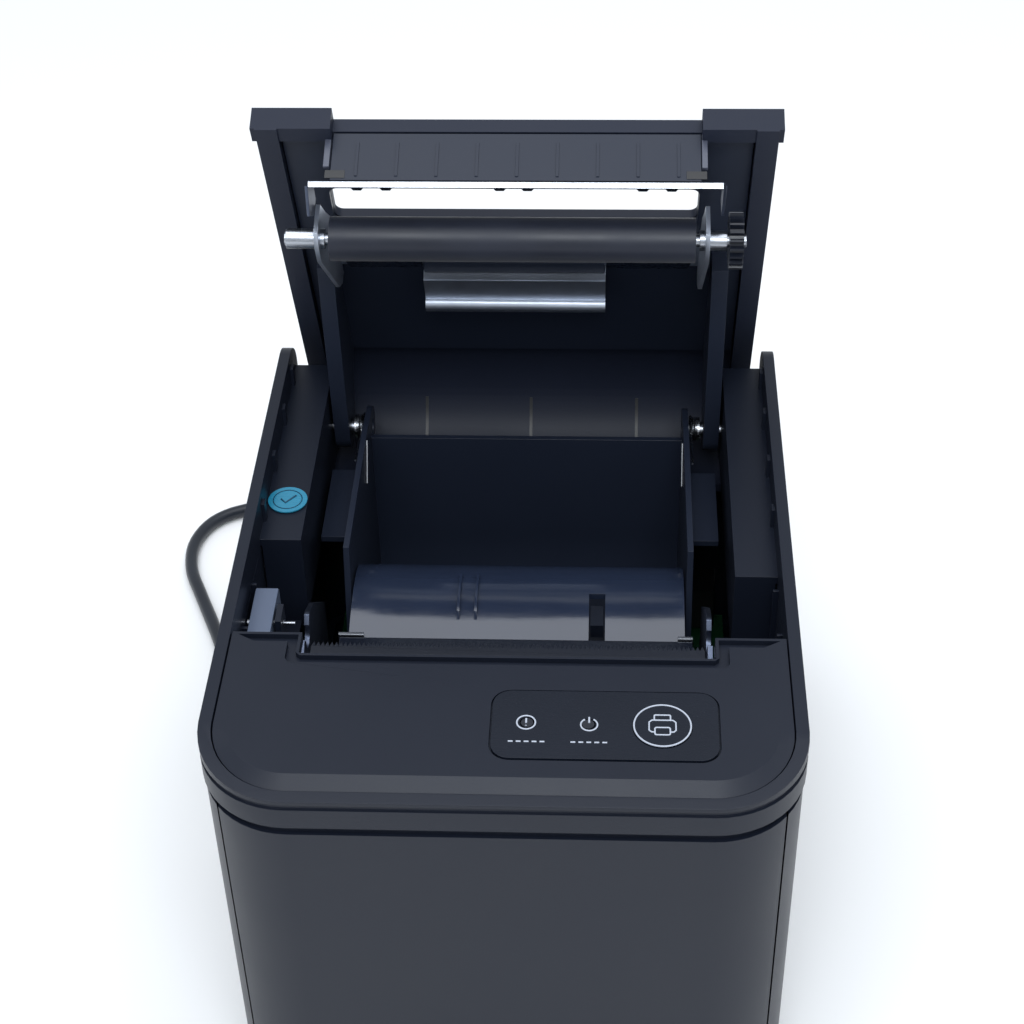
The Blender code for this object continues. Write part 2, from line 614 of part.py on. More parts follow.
def make_cutter():
    """The moving blade with its rack, the pinion that drives it, and the cutter's motor."""
    pitch_radius = MODULE * CUTTER_TEETH / 2
    rack_off = 0.5 + 1.15 * MODULE
    step = math.pi * MODULE
    blade = shape(
        "X", [slope_point(0, -0.5), slope_point(-0.9, 0.5), slope_point(-BLADE_LENGTH, 0.5),
              slope_point(-BLADE_LENGTH, -0.5)], -47.4, 44.2
    )
    centre_along = -6.4
    centre = slope_point(centre_along, rack_off + pitch_radius + 0.25)
    teeth = [slope_point(-BLADE_LENGTH, 0.0), slope_point(-1.6, 0.0)]
    rack_end = int((-1.6 - centre_along) / step)
    rack_start = int((-BLADE_LENGTH - centre_along) / step)
    for i in range(rack_end, rack_start - 1, -1):
        middle = centre_along + i * step
        low, high = 0.5, 0.5 + 1.9 * MODULE
        for share, off in ((0.31, low), (0.13, high), (-0.13, high), (-0.31, low)):
            teeth.append(slope_point(middle + share * step, off))
    teeth.append(slope_point(-BLADE_LENGTH, 0.5))
    rack = shape("X", teeth, *CUTTER_X)
    piece("moving_blade", "steel", blade, [rack], pivot=(0, *BLADE_TOP))
    up = math.atan2(-CUT_NORMAL.y, -CUT_NORMAL.x)
    turn = up + math.pi / CUTTER_TEETH
    pinion = shape("X", gear_outline(*centre, CUTTER_TEETH, turn), *CUTTER_X)
    shaft = rod("X", *centre, 1.2, -24, CUTTER_X[1] + 2, 16)
    piece("cutter_pinion", "gear", pinion, [shaft], pivot=(-17.5, *centre))
    motor = rod("X", *centre, 7.0, -44, -21, 24)
    piece("cutter_motor", "steel", motor, cuts=[rod("X", *centre, 1.6, -25, 0, 16)], smooth=True)


def lid_skin(depth):
    """The lid's profile from its front edge over the curved back, moved in by depth."""
    radius = SKIRT_RADIUS - depth
    centre_y = HINGE_Y - SKIRT_CENTRE
    end = math.degrees(math.asin(-9.5 / SKIRT_RADIUS))
    return arc(centre_y, HINGE_Z, radius, 90, end, 20)


def make_lid(hinge):
    """The lid's shell, liner, bracket, fixed blade and bushes, all as they lie when closed."""
    tip = HINGE_Y - LID_TIP
    front = tip + 4
    outer = [(front, RIM_Z)] + lid_skin(0)
    skin = outer + lid_skin(LID_SKIN)[::-1] + [(front, RIM_Z - LID_SKIN)]
    shell = shape("X", skin, -LID_HALF, LID_HALF)
    side = [(tip, RIM_Z - 1.0), (tip + 1.0, RIM_Z)] + lid_skin(0) + [(75.2, 88.4), (75.2, LID_EDGE_Z), (tip, LID_EDGE_Z)]
    lip = [(front, RIM_Z - LID_SKIN), (front, 116.4), (front + 1.8, 116.4), (front + 1.8, RIM_Z - LID_SKIN + 0.4)]
    joined = [shape("X", lip, -44, 44)]
    for sign in (-1, 1):
        joined.append(shape("X", side, *sorted((sign * 54.1, sign * LID_HALF))))
        joined.append(box(*sorted((sign * 42.0, sign * 60.3)), tip, -33.8, 114.0, RIM_Z))
    slot = shape("Z", rounded(SLOT_LEFT, SLOT_RIGHT, SLOT_FRONT, SLOT_REAR, 2, 2, 6), 100, 140)
    piece("lid_shell", "lid", shell, joined, [slot], hold=hinge)

    plate = box(-53.8, 53.8, front + 2.3, 56, 115.7, 117.2)
    rise = [(-34.2, 102.9), (-31.6, 104.85), (-31.6, 116.0), (-34.2, 116.0)]
    wall = shape("X", rise, -WALL_HALF, WALL_HALF)
    joined = [wall]
    for i in range(9):
        x = -36.3 + i * 9.08
        joined.append(box(x, x + 0.7, -34.45, -34, 104.0, 113.4))
    boss = circle(HINGE_Y, HINGE_Z, 5.6, 20)
    arm = [(11, 116.5), (11, 110), (24, 105), (50, 96), (HINGE_Y - 1, HINGE_Z - 5.5), (HINGE_Y + 5.4, HINGE_Z)]
    arm += [(HINGE_Y + 4, HINGE_Z + 5), (60, 110), (55.5, 116.5)]
    for sign in (-1, 1):
        span = sorted((sign * ARM_INNER, sign * ARM_OUTER))
        joined += [shape("X", arm, *span), shape("X", boss, *span)]
    cuts = [
        shape("Z", rounded(SLOT_LEFT, SLOT_RIGHT, SLOT_FRONT, SLOT_REAR, 2, 2, 6), 100, 140),
        rod("X", HINGE_Y, HINGE_Z, PIN_BORE, -60, 60),
    ]
    piece("lid_liner", "inner", plate, joined, cuts, hold=hinge)

    web = box(-46.2, 44.2, 3.5, 15, 114.2, 115.3)
    step = shape("X", [(15.0, 115.3), (14.0, 114.6), (15.2, 109.8), (16.4, 109.8), (16.0, 115.3)], *TAB_X)
    tab = box(*TAB_X, 15.3, 25.0, 109.6, 110.8)
    roll = rod("X", 25.2, 109.6, 2.1, *TAB_X)
    cheek = [(-23.5, 104), (-23.5, 96), (-20, 94.3), (-14.5, 94.3), (-4, 99), (16, 108), (20, 112), (20, 115.3)]
    cheek += [(3.5, 115.3), (-8, 112), (-16, 107.5)]
    joined = [step, tab, roll]
    for low in (-46.2, 43.2):
        joined.append(shape("X", cheek, low, low + 1.0))
    bores = [rod("X", PLATEN_Y, PLATEN_Z, BUSH_RADIUS + 0.15, -60, 60)]
    piece("platen_bracket", "polished", web, joined, bores, hold=hinge)

    strip = [(-34.9, 100.4), (-27.1, 106.2), (-27.9, 107.2), (-35.4, 101.6)]
    piece("fixed_blade", "steel", shape("X", strip, -46.4, 46.6), hold=hinge)
    for name, low, high in (("platen_bush_left", -53.2, -44.2), ("platen_bush_right", 42.0, 48.2)):
        bush = rod("X", PLATEN_Y, PLATEN_Z, BUSH_RADIUS, low, high)
        bore = rod("X", PLATEN_Y, PLATEN_Z, SHAFT_RADIUS + 0.12, -60, 60)
        piece(name, "steel", bush, cuts=[bore], hold=hinge, smooth=True)


def make_platen(hinge):
    """The platen turns on the lid: its shaft, its rubber and its gear."""
    axis = (0, PLATEN_Y, PLATEN_Z)
    shaft = rod("X", PLATEN_Y, PLATEN_Z, SHAFT_RADIUS, -53.6, 52.6)
    piece("platen_shaft", "steel", shaft, pivot=axis, hold=hinge, smooth=True)
    rubber = rod("X", PLATEN_Y, PLATEN_Z, PLATEN_RADIUS, PLATEN_LEFT, PLATEN_RIGHT, 40)
    bore = rod("X", PLATEN_Y, PLATEN_Z, SHAFT_RADIUS + GAP, -60, 60)
    piece("platen_rubber", "roller", rubber, cuts=[bore], pivot=axis, hold=hinge, smooth=True)
    gear = shape("X", gear_outline(PLATEN_Y, PLATEN_Z, PLATEN_TEETH, 0.0), GEAR_LEFT, GEAR_RIGHT)
    bore = rod("X", PLATEN_Y, PLATEN_Z, SHAFT_RADIUS + GAP, -60, 60)
    piece("platen_gear", "gear", gear, cuts=[bore], pivot=axis, hold=hinge)


def make_seal():
    disc = rod("Z", -56.2, 15.9, 4.8, 112.1, 112.4, 32)
    piece("inspection_seal", "seal", disc)


def smooth_route(points, spacing):
    """A Catmull-Rom curve through the points, read off at an even spacing."""
    knots = [Vector(p) for p in points]
    knots = [2 * knots[0] - knots[1]] + knots + [2 * knots[-1] - knots[-2]]
    fine = []
    for a, b, c, d in zip(knots, knots[1:], knots[2:], knots[3:]):
        for i in range(40):
            t = i / 40
            fine.append(
                0.5 * (2 * b + (c - a) * t + (2 * a - 5 * b + 4 * c - d) * t * t + (3 * b - a - 3 * c + d) * t**3)
            )
    fine.append(knots[-2])
    steps = [(q - p).length for p, q in zip(fine, fine[1:])]
    count = max(2, round(sum(steps) / spacing))
    even = sum(steps) / count
    route = [fine[0]]
    walked = 0.0
    for point, step in zip(fine[1:], steps):
        walked += step
        if walked >= even * len(route) - 1e-6 and len(route) < count:
            route.append(point)
    route.append(fine[-1])
    return route


def make_cord():
    """The data lead: plug, a run down to the table, a tied coil, a run round the left side, connector."""
    plug_end = 99.0
    plug = box(PLUG_X - 3.9, PLUG_X + 3.9, 74.6, 87.2, 18.2, 24.8)
    grip = box(PLUG_X - 5.6, PLUG_X + 5.6, 87.0, plug_end, 16.6, 26.4)
    piece("data_plug", "cord", plug, [grip])
    low = CORD_RADIUS + 0.2
    centre_x, centre_y = COIL_CENTRE
    inner = COIL_MID_RADIUS - COIL_HALF_SECTION[0]
    outer = COIL_MID_RADIUS + COIL_HALF_SECTION[0]
    beside_ring = outer + CORD_RADIUS + GAP
    into = math.radians(300)
    entry = (centre_x + beside_ring * math.cos(into), centre_y + beside_ring * math.sin(into))
    run = [
        (PLUG_X, plug_end + 0.3, PLUG_Z),
        (PLUG_X, plug_end + 8, PLUG_Z),
        (PLUG_X + 0.5, plug_end + 15, PLUG_Z - 3.0),
        (PLUG_X + 1.5, plug_end + 20.5, 11.5),
        (PLUG_X + 4, plug_end + 24.5, 5.2),
        (PLUG_X + 9.5, plug_end + 27.8, low + 0.1),
        (*entry, low),
    ]
    wire("data_lead_rear", "cord", smooth_route(run, 4.5), CORD_RADIUS)
    high = 2 * COIL_HALF_SECTION[1] + 0.2
    ring = rod("Z", centre_x, centre_y, outer, 0.2, high, 32)
    hole = rod("Z", centre_x, centre_y, inner, -5, 40, 32)
    piece("lead_coil", "cord", ring, cuts=[hole], smooth=True)
    out = math.radians(120)
    leave = (centre_x + beside_ring * math.cos(out), centre_y + beside_ring * math.sin(out))
    run = [
        (*leave, low),
        (-56, 180.0, low),
        (-67, 171.0, low),
        (-78.5, 159, low),
        (-89.5, 147, low),
        (-101.4, 141.0, low),
        (-107.5, 134.5, low),
        (-110.3, 125.0, low),
        (-109.0, 113.5, low),
        (-104.2, 101.8, low),
        (-97.5, 86.5, low),
        (-90.8, 70, low),
        (-83.6, 54, low),
        (-77.8, 45, low + 0.9),
        (-75.0, 38, low + 1.8),
        (-74.8, 32.6, low + 1.9),
    ]
    wire("data_lead_side", "cord", smooth_route(run, 5.0), CORD_RADIUS)
    grip = box(-82.5, -67.1, 12, 32, 0.2, 8.0)
    tongue = box(-80.8, -68.8, 0, 13, 1.85, 6.35)
    piece("data_connector", "cord", grip, [tongue])


def main():
    clear_scene()
    hinge = bpy.data.objects.new("lid_hinge", None)
    hinge.location = Vector((0, HINGE_Y, HINGE_Z)) * MM
    bpy.context.scene.collection.objects.link(hinge)
    make_base()
    make_housings()
    make_upper_housing()
    make_front_panel()
    make_bin()
    make_electronics()
    make_frames()
    make_head()
    make_hinges()
    make_latch()
    make_cutter()
    make_lid(hinge)
    make_platen(hinge)
    make_seal()
    make_cord()
    hinge.rotation_euler.x = -LID_OPEN


main()
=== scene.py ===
import json
import math

import bmesh
import bpy
from mathutils import Matrix, Vector


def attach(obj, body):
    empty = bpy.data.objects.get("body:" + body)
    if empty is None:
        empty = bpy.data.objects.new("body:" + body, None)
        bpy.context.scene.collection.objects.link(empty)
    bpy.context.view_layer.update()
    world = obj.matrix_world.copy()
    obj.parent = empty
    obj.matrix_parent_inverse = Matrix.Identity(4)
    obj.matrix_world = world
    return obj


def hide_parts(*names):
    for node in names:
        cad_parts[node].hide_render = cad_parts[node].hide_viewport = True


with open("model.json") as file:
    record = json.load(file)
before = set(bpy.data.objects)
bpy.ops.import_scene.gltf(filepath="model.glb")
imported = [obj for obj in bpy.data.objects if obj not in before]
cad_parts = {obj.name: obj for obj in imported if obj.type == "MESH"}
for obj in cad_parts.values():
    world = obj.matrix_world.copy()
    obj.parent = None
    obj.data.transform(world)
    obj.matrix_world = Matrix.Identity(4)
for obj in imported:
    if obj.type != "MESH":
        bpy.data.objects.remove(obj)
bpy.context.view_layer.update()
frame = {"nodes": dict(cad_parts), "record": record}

MM = 0.001
HINGE = Vector((0, 65.5, 97.0))
LID_OPEN = math.radians(67.74)
PANEL_Z = 119.6
BUTTON = (33.5, -66.0)
SKIRT_Y = 61.5


# ---------------------------------------------------------------- camera

camera = bpy.data.objects.new("camera", bpy.data.cameras.new("camera"))
camera.location = (0.02108, -0.36631, 0.42875)
camera.rotation_euler = [math.radians(a) for a in (50.142, 1.183, 2.407)]
camera.data.lens = 72.05
camera.data.sensor_width = 36
camera.data.clip_start = 0.01
bpy.context.scene.collection.objects.link(camera)
bpy.context.scene.camera = camera


# ---------------------------------------------------------------- materials

def srgb(red, green, blue):
    """A colour from its 0 to 255 display values, as the linear RGBA that a shader takes."""
    linear = []
    for value in (red, green, blue):
        share = value / 255
        linear.append(share / 12.92 if share <= 0.04045 else ((share + 0.055) / 1.055) ** 2.4)
    return (*linear, 1.0)


def add(tree, kind, values=None, **settings):
    """A new shader node, with its socket values and its own settings."""
    node = tree.nodes.new(kind)
    for key, value in settings.items():
        setattr(node, key, value)
    for key, value in (values or {}).items():
        node.inputs[key].default_value = value
    return node


def shader(name, colour, roughness, metallic=0.0, **sockets):
    """A Principled material, its tree, its shader and its object coordinates."""
    material = bpy.data.materials.new(name)
    material.use_nodes = True
    tree = material.node_tree
    principled = tree.nodes["Principled BSDF"]
    principled.inputs["Base Color"].default_value = colour
    principled.inputs["Roughness"].default_value = roughness
    principled.inputs["Metallic"].default_value = metallic
    for key, value in sockets.items():
        principled.inputs[key.replace("_", " ")].default_value = value
    where = add(tree, "ShaderNodeTexCoord")
    return material, tree, principled, where


def mapped(tree, where, stretch):
    """The object's coordinates, stretched."""
    mapping = add(tree, "ShaderNodeMapping", {"Scale": stretch})
    tree.links.new(where.outputs["Object"], mapping.inputs["Vector"])
    return mapping.outputs["Vector"]


def noise(tree, vector, scale, detail=2.0, roughness=0.5):
    """Cloudy values from about 0.3 to 0.7, scale to the metre."""
    made = add(tree, "ShaderNodeTexNoise", {"Scale": scale, "Detail": detail, "Roughness": roughness})
    tree.links.new(vector, made.inputs["Vector"])
    return made.outputs["Fac"]


def ranged(tree, value, low, high, start=0.3, end=0.7):
    """A value that runs from low to high while the given one runs from start to end."""
    made = add(
        tree, "ShaderNodeMapRange",
        {"From Min": start, "From Max": end, "To Min": low, "To Max": high},
    )
    tree.links.new(value, made.inputs["Value"])
    return made.outputs["Result"]


def tinted(tree, principled, value, first, second):
    """The base colour, between two colours by a value."""
    ramp = add(tree, "ShaderNodeValToRGB")
    ramp.color_ramp.elements[0].position = 0.3
    ramp.color_ramp.elements[1].position = 0.7
    ramp.color_ramp.elements[0].color = first
    ramp.color_ramp.elements[1].color = second
    tree.links.new(value, ramp.inputs["Fac"])
    tree.links.new(ramp.outputs["Color"], principled.inputs["Base Color"])


def bumped(tree, principled, heights):
    """Bumps one over another: each is (value, distance in metres, strength)."""
    normal = None
    for value, distance, strength in heights:
        bump = add(tree, "ShaderNodeBump", {"Distance": distance, "Strength": strength})
        tree.links.new(value, bump.inputs["Height"])
        if normal:
            tree.links.new(normal, bump.inputs["Normal"])
        normal = bump.outputs["Normal"]
    tree.links.new(normal, principled.inputs["Normal"])


def scaled(colour, factor):
    """A lighter or darker colour."""
    return (*(c * factor for c in colour[:3]), 1.0)


def moulded(name, colour, roughness=0.5, grain=0.25, polish=0.5):
    """Moulded plastic with a fine spark-eroded texture and a slight unevenness in colour and shine."""
    material, tree, principled, where = shader(name, colour, roughness, Specular_IOR_Level=polish)
    plain = where.outputs["Object"]
    broad = noise(tree, plain, 38.0, 3.0)
    fine = noise(tree, plain, 2600.0, 2.0, 0.6)
    speck = noise(tree, plain, 5200.0, 1.0)
    tinted(tree, principled, broad, scaled(colour, 0.97), scaled(colour, 1.03))
    uneven = ranged(tree, broad, roughness - 0.02, roughness + 0.02)
    tree.links.new(uneven, principled.inputs["Roughness"])
    bumped(tree, principled, [(fine, 0.00005, grain), (speck, 0.00003, grain * 0.6)])
    return material


def glossy(name, colour, roughness, wave=0.15, **sockets):
    """Polished plastic: smooth, with the long shallow waves of a moulding and a few fine scuffs."""
    material, tree, principled, where = shader(name, colour, roughness, **sockets)
    broad = noise(tree, where.outputs["Object"], 55.0, 2.0)
    scuff = noise(tree, mapped(tree, where, (1.0, 14.0, 1.0)), 420.0, 4.0, 0.65)
    tinted(tree, principled, broad, scaled(colour, 0.95), scaled(colour, 1.06))
    uneven = ranged(tree, scuff, max(roughness - 0.03, 0.02), roughness + 0.09, 0.45, 0.75)
    tree.links.new(uneven, principled.inputs["Roughness"])
    bumped(tree, principled, [(broad, 0.0006, wave), (scuff, 0.00002, 0.15)])
    return material


def metal(name, colour, roughness, grain=(1.0, 30.0, 30.0), depth=0.2):
    """Rolled or drawn metal: fine lines along one axis, and faint stains."""
    material, tree, principled, where = shader(name, colour, roughness, 1.0)
    lines = noise(tree, mapped(tree, where, grain), 260.0, 5.0, 0.7)
    stain = noise(tree, where.outputs["Object"], 90.0, 4.0, 0.6)
    tinted(tree, principled, stain, scaled(colour, 0.82), colour)
    uneven = ranged(tree, lines, roughness * 0.75, roughness * 1.35)
    tree.links.new(uneven, principled.inputs["Roughness"])
    bumped(tree, principled, [(lines, 0.00003, depth)])
    return material


def rubbery(name, colour, roughness, scale=1800.0, depth=0.3):
    """Rubber or soft PVC: matt, with a faint bloom."""
    material, tree, principled, where = shader(
        name, colour, roughness, Specular_IOR_Level=0.35, Sheen_Weight=0.12, Sheen_Roughness=0.5
    )
    bloom = noise(tree, where.outputs["Object"], 70.0, 5.0, 0.6)
    fine = noise(tree, where.outputs["Object"], scale, 2.0)
    tinted(tree, principled, bloom, scaled(colour, 0.85), scaled(colour, 1.2))
    tree.links.new(ranged(tree, bloom, roughness - 0.07, roughness + 0.07), principled.inputs["Roughness"])
    bumped(tree, principled, [(fine, 0.00004, depth)])
    return material


CASE = srgb(21, 26, 38)
LID = srgb(30, 35, 49)
# The inner plastic is the case's black plastic made lighter: painted light that lifts the shade inside the
# printer.
INNER_LIGHTENED = srgb(30, 36, 50)
LOOKS = {
    "case": moulded("case_plastic", CASE, 0.42, 0.25, 0.28),
    "lid": moulded("lid_plastic", LID, 0.46, 0.25, 0.2),
    # The inner look takes the lightened colour: painted light on the printer's interior.
    "inner": moulded("inner_plastic_painted_light", INNER_LIGHTENED, 0.42, 0.15, 0.3),
    "window": glossy("window_plastic", srgb(18, 23, 34), 0.3, 0.05, Specular_IOR_Level=0.28),
    "gloss": glossy("guide_plastic", srgb(34, 42, 60), 0.14, 0.2, Specular_IOR_Level=0.6),
    "steel": metal("plated_steel", srgb(178, 182, 190), 0.26),
    "blackened": metal("blackened_steel", srgb(88, 95, 112), 0.4),
    "polished": metal("polished_steel", srgb(204, 211, 224), 0.36, (30.0, 1.0, 30.0), 0.08),
    "spring": metal("spring_wire", srgb(200, 203, 208), 0.22, (6.0, 6.0, 6.0), 0.05),
    "roller": rubbery("platen_rubber", srgb(27, 31, 43), 0.42, 2400.0, 0.2),
    "foot": rubbery("foot_rubber", srgb(20, 20, 22), 0.75),
    "gear": glossy("gear_plastic", srgb(20, 24, 34), 0.32, 0.05, Specular_IOR_Level=0.35),
    "lever": moulded("lever_plastic", srgb(86, 96, 116), 0.36, 0.08),
    "board": glossy("board_mask", srgb(24, 78, 48), 0.35, 0.1),
    "socket": moulded("socket_plastic", srgb(24, 25, 28), 0.45, 0.1),
    "lens": glossy("lens_plastic", srgb(28, 31, 40), 0.25, 0.02),
    "seal": glossy("seal_foil", srgb(34, 128, 160), 0.3, 0.02, Coat_Weight=0.4, Coat_Roughness=0.1),
    "head": glossy("head_glaze", srgb(18, 22, 32), 0.14, 0.05),
    "aluminium": metal("extruded_aluminium", srgb(150, 152, 158), 0.32),
    "cord": rubbery("lead_pvc", srgb(26, 31, 40), 0.4, 2600.0, 0.12),
}
LOOKS["print"] = moulded("print_ink", srgb(176, 182, 194), 0.6, 0.05, 0.3)
LOOKS["ink"] = moulded("seal_ink", srgb(18, 62, 84), 0.5, 0.05, 0.3)
LOOKS["contact"] = metal("gilt_contact", srgb(214, 178, 96), 0.25)
LOOKS["flange"] = moulded("flange_plastic", srgb(70, 74, 88), 0.4, 0.05)


# ---------------------------------------------------------------- shaping

def smoothing(degrees):
    """A geometry node group that shades smooth across edges under an angle."""
    group = bpy.data.node_groups.new(f"smooth_{degrees}", "GeometryNodeTree")
    for way in ("INPUT", "OUTPUT"):
        group.interface.new_socket("Geometry", in_out=way, socket_type="NodeSocketGeometry")
    first = group.nodes.new("NodeGroupInput")
    faces = group.nodes.new("GeometryNodeSetShadeSmooth")
    edges = group.nodes.new("GeometryNodeSetShadeSmooth")
    edges.domain = "EDGE"
    angle = group.nodes.new("GeometryNodeInputMeshEdgeAngle")
    under = group.nodes.new("FunctionNodeCompare")
    under.data_type = "FLOAT"
    under.operation = "LESS_THAN"
    under.inputs["B"].default_value = math.radians(degrees)
    last = group.nodes.new("NodeGroupOutput")
    group.links.new(first.outputs[0], faces.inputs["Geometry"])
    group.links.new(faces.outputs["Geometry"], edges.inputs["Geometry"])
    group.links.new(angle.outputs["Unsigned Angle"], under.inputs["A"])
    group.links.new(under.outputs["Result"], edges.inputs["Shade Smooth"])
    group.links.new(edges.outputs["Geometry"], last.inputs[0])
    return group


SMOOTH = smoothing(35)
SMOOTH_FINE = smoothing(12)
EDGE_ANGLE, FINE_EDGE_ANGLE = math.radians(35), math.radians(20)
WELD_DISTANCE = 0.002 * MM


def round_edges(thing, width, segments=2, weld=False, fine=False):
    """Rounds the edges of a piece by width in millimetres, and shades it smooth.

    weld joins the corners that the frame's meshes repeat. fine keeps shallow slopes crisp.
    """
    if weld:
        join = thing.modifiers.new("weld", "WELD")
        join.merge_threshold = WELD_DISTANCE
    if width:
        bevel = thing.modifiers.new("bevel", "BEVEL")
        bevel.width = width * MM
        bevel.segments = segments
        bevel.limit_method = "ANGLE"
        bevel.angle_limit = FINE_EDGE_ANGLE if fine else EDGE_ANGLE
        bevel.use_clamp_overlap = True
        bevel.miter_outer = "MITER_ARC"
        bevel.harden_normals = False
    smooth = thing.modifiers.new("smooth", "NODES")
    smooth.node_group = SMOOTH_FINE if fine else SMOOTH
    if width:
        even = thing.modifiers.new("even", "WEIGHTED_NORMAL")
        even.keep_sharp = True


# The width in millimetres of each piece's rounded edges.
BEVELS = {
    "lower_housing": 0.5, "front_cover": 0.3, "upper_housing": 0.3, "front_panel": 0.3, "bottom_tray": 0.4,
    "lid_shell": 0.5, "lid_liner": 0.2, "paper_bin": 0.3, "paper_guide": 0.15, "open_lever": 0.3,
    "platen_bracket": 0.12, "feed_button": 0.25, "indicator_window": 0.12, "tear_bar": 0.05,
    "side_frame_left": 0.1, "side_frame_right": 0.1, "power_rocker": 0.4, "switch_frame": 0.3,
    "usb_socket": 0.25, "drawer_socket": 0.3, "power_socket": 0.3, "rubber_foot_1": 0.5,
    "rubber_foot_2": 0.5, "rubber_foot_3": 0.5, "rubber_foot_4": 0.5, "moving_blade": 0.08,
    "fixed_blade": 0.08, "head_heat_sink": 0.15, "print_head": 0.15, "cross_member": 0.15,
    "stepper_motor": 0.4, "cutter_motor": 0.4, "latch_bar": 0.12, "platen_rubber": 0.15,
    "platen_bush_left": 0.15, "platen_bush_right": 0.15, "platen_shaft": 0.15,
}
SLOTS = {row["node"]: row["material_slot"] for row in frame["record"]["subparts"]}

for name, node in frame["nodes"].items():
    node.data.materials.clear()
    node.data.materials.append(LOOKS[SLOTS[name]])
    custom = node.data.attributes.get("custom_normal")
    if custom:
        node.data.attributes.remove(custom)
    round_edges(node, BEVELS.get(name, 0), weld=True, fine=name == "front_panel")


# ---------------------------------------------------------------- building pieces

OPENING = Matrix.Translation(HINGE) @ Matrix.Rotation(-LID_OPEN, 4, "X") @ Matrix.Translation(-HINGE)


def settle(made, look, body):
    """Puts a new piece in the scene with its look and its body."""
    bpy.context.scene.collection.objects.link(made)
    made.data.materials.append(LOOKS[look])
    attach(made, body)
    return made


def loft(name, rings, look, body, bevel=0.1, closed=False):
    """A solid between rings of points in millimetres. closed says that they are the closed lid's."""
    mesh = bmesh.new()
    layers = [[mesh.verts.new(Vector(p)) for p in ring] for ring in rings]
    mesh.faces.new(layers[0])
    mesh.faces.new(layers[-1])
    for lower, upper in zip(layers, layers[1:]):
        for i in range(len(lower)):
            j = (i + 1) % len(lower)
            mesh.faces.new((lower[i], lower[j], upper[j], upper[i]))
    bmesh.ops.recalc_face_normals(mesh, faces=mesh.faces)
    if closed:
        mesh.transform(OPENING)
    mesh.transform(Matrix.Scale(MM, 4))
    data = bpy.data.meshes.new(name)
    mesh.to_mesh(data)
    mesh.free()
    made = bpy.data.objects.new(name, data)
    settle(made, look, body)
    round_edges(made, bevel)
    return made


def prism(name, axis, outline, low, high, look, body, bevel=0.1, closed=False):
    """An outline extruded along an axis."""
    places = {"X": lambda p, h: (h, *p), "Y": lambda p, h: (p[0], h, p[1]), "Z": lambda p, h: (*p, h)}
    place = places[axis]
    rings = [[place(p, low) for p in outline], [place(p, high) for p in outline]]
    return loft(name, rings, look, body, bevel, closed)


def slab(name, xs, ys, zs, look, body, bevel=0.1, closed=False):
    """A block between two values of each coordinate, with rounded edges."""
    outline = [(xs[0], ys[0]), (xs[1], ys[0]), (xs[1], ys[1]), (xs[0], ys[1])]
    return prism(name, "Z", outline, *zs, look, body, bevel, closed)


def line(name, points, radius, look, body, loop=False, closed=False, sides=2):
    """A thin round line along points in millimetres."""
    curve = bpy.data.curves.new(name, "CURVE")
    curve.dimensions = "3D"
    curve.bevel_depth = radius * MM
    curve.bevel_resolution = sides
    curve.use_fill_caps = True
    spline = curve.splines.new("POLY")
    spline.points.add(len(points) - 1)
    spline.use_cyclic_u = loop
    for point, place in zip(spline.points, points):
        where = OPENING @ Vector(place) if closed else Vector(place)
        point.co = (*(where * MM), 1.0)
    return settle(bpy.data.objects.new(name, curve), look, body)


def arc(x, y, z, radius, first, last, count, squash=1.0):
    """Points of a level arc, its angles in degrees."""
    angles = [math.radians(first + (last - first) * i / count) for i in range(count + 1)]
    return [(x + radius * math.cos(a), y + squash * radius * math.sin(a), z) for a in angles]


def rounded_loop(x0, x1, y0, y1, radius, z, count=6):
    """Points of a level rectangle with round corners."""
    return (
        arc(x0 + radius, y0 + radius, z, radius, 180, 270, count)
        + arc(x1 - radius, y0 + radius, z, radius, 270, 360, count)
        + arc(x1 - radius, y1 - radius, z, radius, 0, 90, count)
        + arc(x0 + radius, y1 - radius, z, radius, 90, 180, count)
    )


def upright_loop(x, z, half_x, half_z, radius, y, count=4):
    """Points of an upright rectangle with round corners, across Y."""
    flat = rounded_loop(x - half_x, x + half_x, z - half_z, z + half_z, radius, 0, count)
    return [(a, y, b) for a, b, _ in flat]


# ---------------------------------------------------------------- the data lead

CORD_RADIUS = 2.0
PLUG_X, PLUG_Z = -32.0, 21.5
COIL_CENTRE = (-30.0, 158.0)
COIL_START, COIL_TURNS = 300.0, 8.5
# Each turn's radius and height in the bundle, in the order that the lead takes them.
COIL_SLOTS = [
    (27, 2.2), (23, 2.2), (19, 2.2), (19, 6.2), (19, 10.2), (23, 10.2), (23, 6.2), (27, 10.2), (27, 6.2),
]
COIL_OUTSIDE = 31.4
REAR_RUN = [
    (-32, 99.3, 21.5), (-32, 107, 21.5), (-31.5, 114, 18.5), (-30.5, 119.5, 11.5), (-28, 123.5, 5.2),
    (-22.5, 126.8, 2.3),
]
SIDE_RUN = [
    (-56, 180, 2.2), (-67, 171, 2.2), (-78.5, 159, 2.2), (-89.5, 147, 2.2), (-101.4, 141, 2.2),
    (-107.5, 134.5, 2.2), (-110.3, 125, 2.2), (-109, 113.5, 2.2), (-104.2, 101.8, 2.2), (-97.5, 86.5, 2.2),
    (-90.8, 70, 2.2), (-83.6, 54, 2.2), (-77.8, 45, 3.1), (-75, 38, 4.0), (-74.8, 32.6, 4.1),
]


